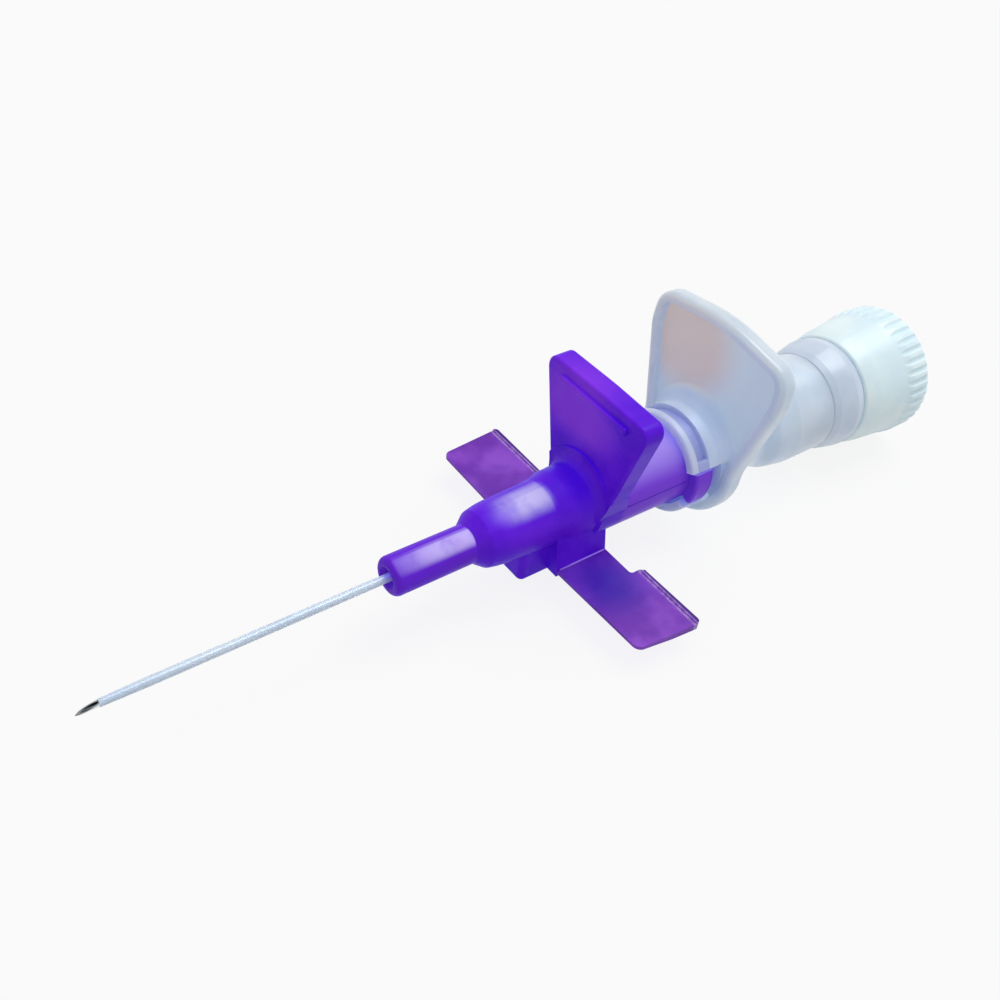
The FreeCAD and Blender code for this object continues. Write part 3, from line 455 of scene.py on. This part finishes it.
# %% Beads at the wing roots and hairlines on the barrel
def fine_rod(name, start, end, radius, finish, slot):
    """A round rod between two points in mm, which rides on the cannula."""
    start, end = Vector(start) * MM, Vector(end) * MM
    along = end - start
    turn = along.to_track_quat("Z", "Y").to_matrix().to_4x4()
    place = Matrix.Translation((start + end) / 2) @ turn
    bm = bmesh.new()
    bmesh.ops.create_cone(bm, cap_ends=True, segments=16, radius1=radius * MM, radius2=radius * MM,
                          depth=along.length, matrix=place)
    for face in bm.faces:
        face.smooth = len(face.verts) == 4
    mesh = bpy.data.meshes.new(name)
    bm.to_mesh(mesh)
    bm.free()
    mesh.materials.append(finish)
    rod = bpy.data.objects.new(name, mesh)
    bpy.context.scene.collection.objects.link(rod)
    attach(rod, "cannula")
    print(name, "is", round(along.length / MM, 2), "mm long")


def line_plastic(name, low, high, **values):
    """Clouded violet for a thin line, from low to high."""
    finish, tree, shader = new_finish(name, IOR=1.49, **values)
    marks = mould_marks(tree, shader, clouds=900.0)
    colour_by(tree, shader, marks.outputs["Clouds"], low, high)
    return finish


# The pale colour of the beads is a painted highlight.
bead_painted_highlight = line_plastic("bead_painted_highlight", screen(176, 120, 250), screen(206, 164, 255),
                            Roughness=0.3)
hairline_finish = line_plastic("hairline_finish", screen(66, 10, 168), screen(90, 30, 200),
                            Roughness=0.4, Specular_IOR_Level=0.1)

BEAD_FROM, BEAD_TO = -13.1, -9.1
BEAD_Y, BEAD_Z, BEAD_R = 2.935, -3.13, 0.065
HAIRLINE_RISE = math.radians(6.0)
HAIRLINE_AT = ((-7.9, 2.971), (-2.1, 3.029))
HAIRLINE_R = 0.03
for side, way in (("left", -1), ("right", 1)):
    bead = [(x, way * BEAD_Y, BEAD_Z) for x in (BEAD_FROM, BEAD_TO)]
    fine_rod("wing_bead_" + side, *bead, BEAD_R, bead_painted_highlight, "violet_plastic")
    hairline_ends = [(x, way * r * math.cos(HAIRLINE_RISE), r * math.sin(HAIRLINE_RISE)) for x, r in HAIRLINE_AT]
    fine_rod("barrel_hairline_" + side, *hairline_ends, HAIRLINE_R, hairline_finish, "violet_plastic")

# %% [markdown]
# The camera stands where the photographer's did. Its place, its turn and its lens were worked out
# from the outlines of the wings, the plates and the round parts in the picture, so it looks down
# on the point of the needle from its left, a hand's breadth away. The lens is given as a share of
# the picture's width.

# %% Camera
EYE = Vector((-56.84, -43.87, 56.08)) * MM
RIGHT = Vector((0.7985, -0.5916, 0.1110))
DOWN = Vector((-0.3341, -0.5890, -0.7358))
AHEAD = Vector((0.5007, 0.5505, -0.6680))
SENSOR = 36.0
FOCAL_SHARE = 1.2131
NEAREST, FARTHEST = 0.005, 20.0

lens = bpy.data.cameras.new("camera")
lens.sensor_width = SENSOR
lens.lens = SENSOR * FOCAL_SHARE
lens.clip_start, lens.clip_end = NEAREST, FARTHEST
camera = bpy.data.objects.new("camera", lens)
turn = Matrix((RIGHT, -DOWN, -AHEAD)).transposed()
camera.matrix_world = Matrix.Translation(EYE) @ turn.to_4x4()
bpy.context.scene.collection.objects.link(camera)
bpy.context.scene.camera = camera
print("camera", [round(v, 4) for v in EYE], "lens", round(lens.lens, 2), "mm")

# %% [markdown]
# The floor is a plain pale sheet just under the lowest point. Rays that come from the camera, a
# mirror or glass see it mixed with plain white, so it reads as white paper with a faint shadow,
# while the light that it throws back on the object stays that of pale paper.

# %% Floor
FLOOR_Z = CAD_LOW.z - 0.02 * MM
FLOOR_HALF = 3.0
PAPER_GREY = 0.62
WHITE_SHARE = 0.87


def any_ray(tree, *kinds):
    """One for a ray of any of these kinds, and nought for the rest."""
    path = tree.nodes.new("ShaderNodeLightPath")
    value = path.outputs[kinds[0]]
    for kind in kinds[1:]:
        either = tree.nodes.new("ShaderNodeMath")
        either.operation = "MAXIMUM"
        tree.links.new(value, either.inputs[0])
        tree.links.new(path.outputs[kind], either.inputs[1])
        value = either.outputs["Value"]
    return value


bm = bmesh.new()
bmesh.ops.create_grid(bm, x_segments=1, y_segments=1, size=FLOOR_HALF)
bmesh.ops.translate(bm, verts=bm.verts, vec=(0.0, 0.0, FLOOR_Z))
sheet = bpy.data.meshes.new("floor")
bm.to_mesh(sheet)
bm.free()
floor = bpy.data.objects.new("floor", sheet)
bpy.context.scene.collection.objects.link(floor)
paper, tree, shader = new_finish(
    "pale_floor", Base_Color=(PAPER_GREY, PAPER_GREY, PAPER_GREY, 1.0), Roughness=0.9,
    Specular_IOR_Level=0.1)
white = tree.nodes.new("ShaderNodeEmission")
share = tree.nodes.new("ShaderNodeMath")
share.operation = "MULTIPLY"
share.inputs[1].default_value = WHITE_SHARE
looks = any_ray(tree, "Is Camera Ray", "Is Glossy Ray", "Is Transmission Ray")
tree.links.new(looks, share.inputs[0])
mixer = tree.nodes.new("ShaderNodeMixShader")
tree.links.new(share.outputs["Value"], mixer.inputs["Fac"])
tree.links.new(shader.outputs["BSDF"], mixer.inputs[1])
tree.links.new(white.outputs["Emission"], mixer.inputs[2])
tree.links.new(mixer.outputs["Shader"], tree.nodes["Material Output"].inputs["Surface"])
sheet.materials.append(paper)
print("floor at", round(FLOOR_Z / MM, 2), "mm")

# %% [markdown]
# One big soft light stands high and a little behind the object: a sun with a wide angle, which
# lights the floor evenly all over. The world is plain and nearly white for the camera. For light
# on its way to a surface it is even and dimmer, so colours come out about as they are written, and
# mirrors and glass see it bright at the horizon and dim overhead, which keeps dark plastic dark.

# %% Light and world
SUN_FROM = Vector((0.42, 0.06, 0.90))
SUN_LEVEL = 1.65
SUN_WIDTH = math.radians(36)
FILL_LEVEL = 0.58
OVERHEAD_LEVEL = 0.32
BACKDROP_LEVEL = 0.955
sun = bpy.data.lights.new("key_sun", "SUN")
sun.energy = SUN_LEVEL
sun.angle = SUN_WIDTH
lamp = bpy.data.objects.new("key_sun", sun)
lamp.rotation_euler = (-SUN_FROM).to_track_quat("-Z", "Y").to_euler()
bpy.context.scene.collection.objects.link(lamp)

world = bpy.data.worlds.new("soft_room")
world.use_nodes = True
bpy.context.scene.world = world
tree = world.node_tree
way = tree.nodes.new("ShaderNodeTexCoord")
split = tree.nodes.new("ShaderNodeSeparateXYZ")
tree.links.new(way.outputs["Generated"], split.inputs["Vector"])
room = spread(tree, split.outputs["Z"], 0.05, 0.6, 1.0, OVERHEAD_LEVEL)
level = tree.nodes.new("ShaderNodeMix")
level.inputs["A"].default_value = FILL_LEVEL
tree.links.new(room, level.inputs["B"])
tree.links.new(any_ray(tree, "Is Glossy Ray", "Is Transmission Ray"), level.inputs["Factor"])
seen = tree.nodes.new("ShaderNodeMix")
seen.inputs["B"].default_value = BACKDROP_LEVEL
tree.links.new(level.outputs["Result"], seen.inputs["A"])
tree.links.new(any_ray(tree, "Is Camera Ray"), seen.inputs["Factor"])
tree.links.new(seen.outputs["Result"], tree.nodes["Background"].inputs["Strength"])
tree.nodes["Background"].inputs["Color"].default_value = (1.0, 1.0, 1.0, 1.0)
print("sun", sun.energy, "from", [round(v, 2) for v in SUN_FROM.normalized()])

# %% [markdown]
# Colours are shown plainly, with no film look laid over them.

bpy.context.scene.view_settings.view_transform = "Standard"
